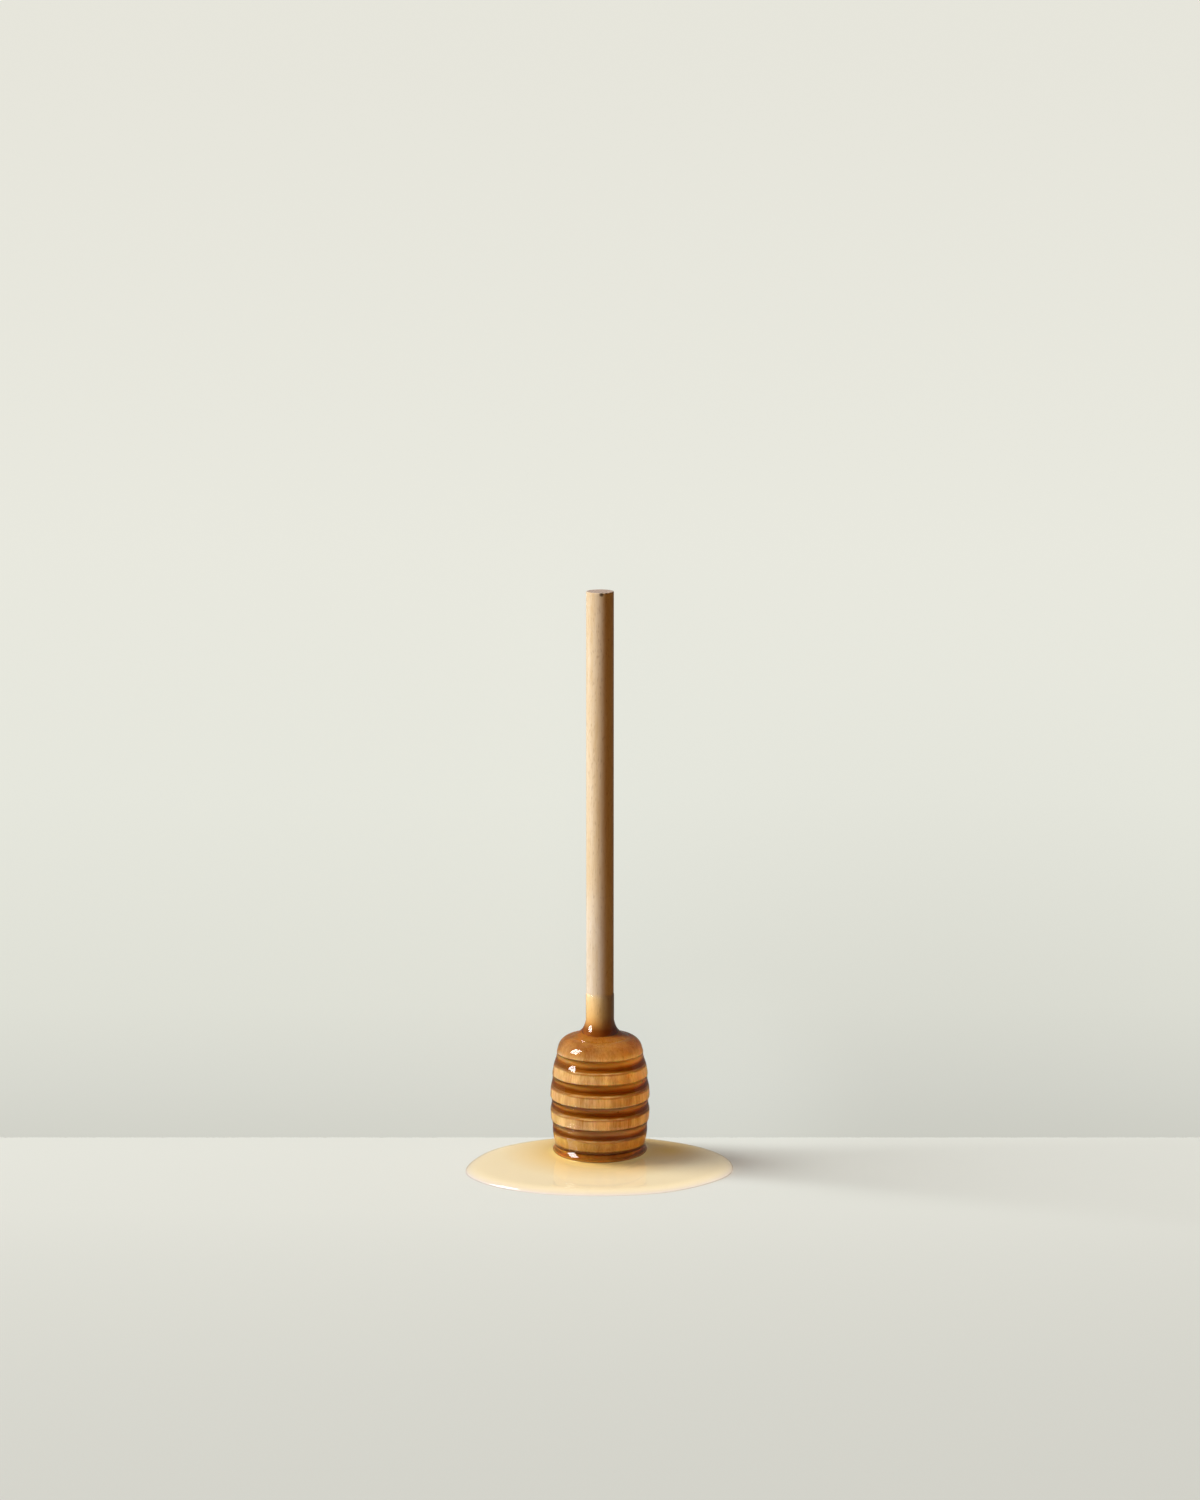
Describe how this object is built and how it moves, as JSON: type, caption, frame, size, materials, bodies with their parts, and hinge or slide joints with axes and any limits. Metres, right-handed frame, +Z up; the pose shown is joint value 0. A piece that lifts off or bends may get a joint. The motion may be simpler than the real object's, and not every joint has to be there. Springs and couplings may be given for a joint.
{
  "type": "honey dipper",
  "caption": "Wooden honey dipper with a plain dowel handle and a deeply grooved, turned head, coated in honey and standing upright in a shallow pool of honey.",
  "frame": {"origin": "on the dipper's axis, on the underside of the honey pool, where the whole part rests", "axes": "+Z up along the handle, -Y towards the side that the pool has run out to most"},
  "size_m": [0.074, 0.0548, 0.16],
  "materials": {
    "head_wood": "turned and sanded, not varnished",
    "handle_wood": "sanded dowel, sawn square at its top, not varnished",
    "wood_glue": "dried wood glue",
    "honey": "clear liquid honey, wet and glossy"
  },
  "bodies": {
    "pool": {"honey_pool": "honey"},
    "dipper": {"head": "head_wood", "handle": "handle_wood", "glue_line": "wood_glue", "honey_coat": "honey"}
  },
  "joints": [
    {"name": "dipper_lift", "type": "slide", "parent": "pool", "child": "dipper", "axis": [0, 0, 1], "range_m": [0, 0.04]}
  ]
}
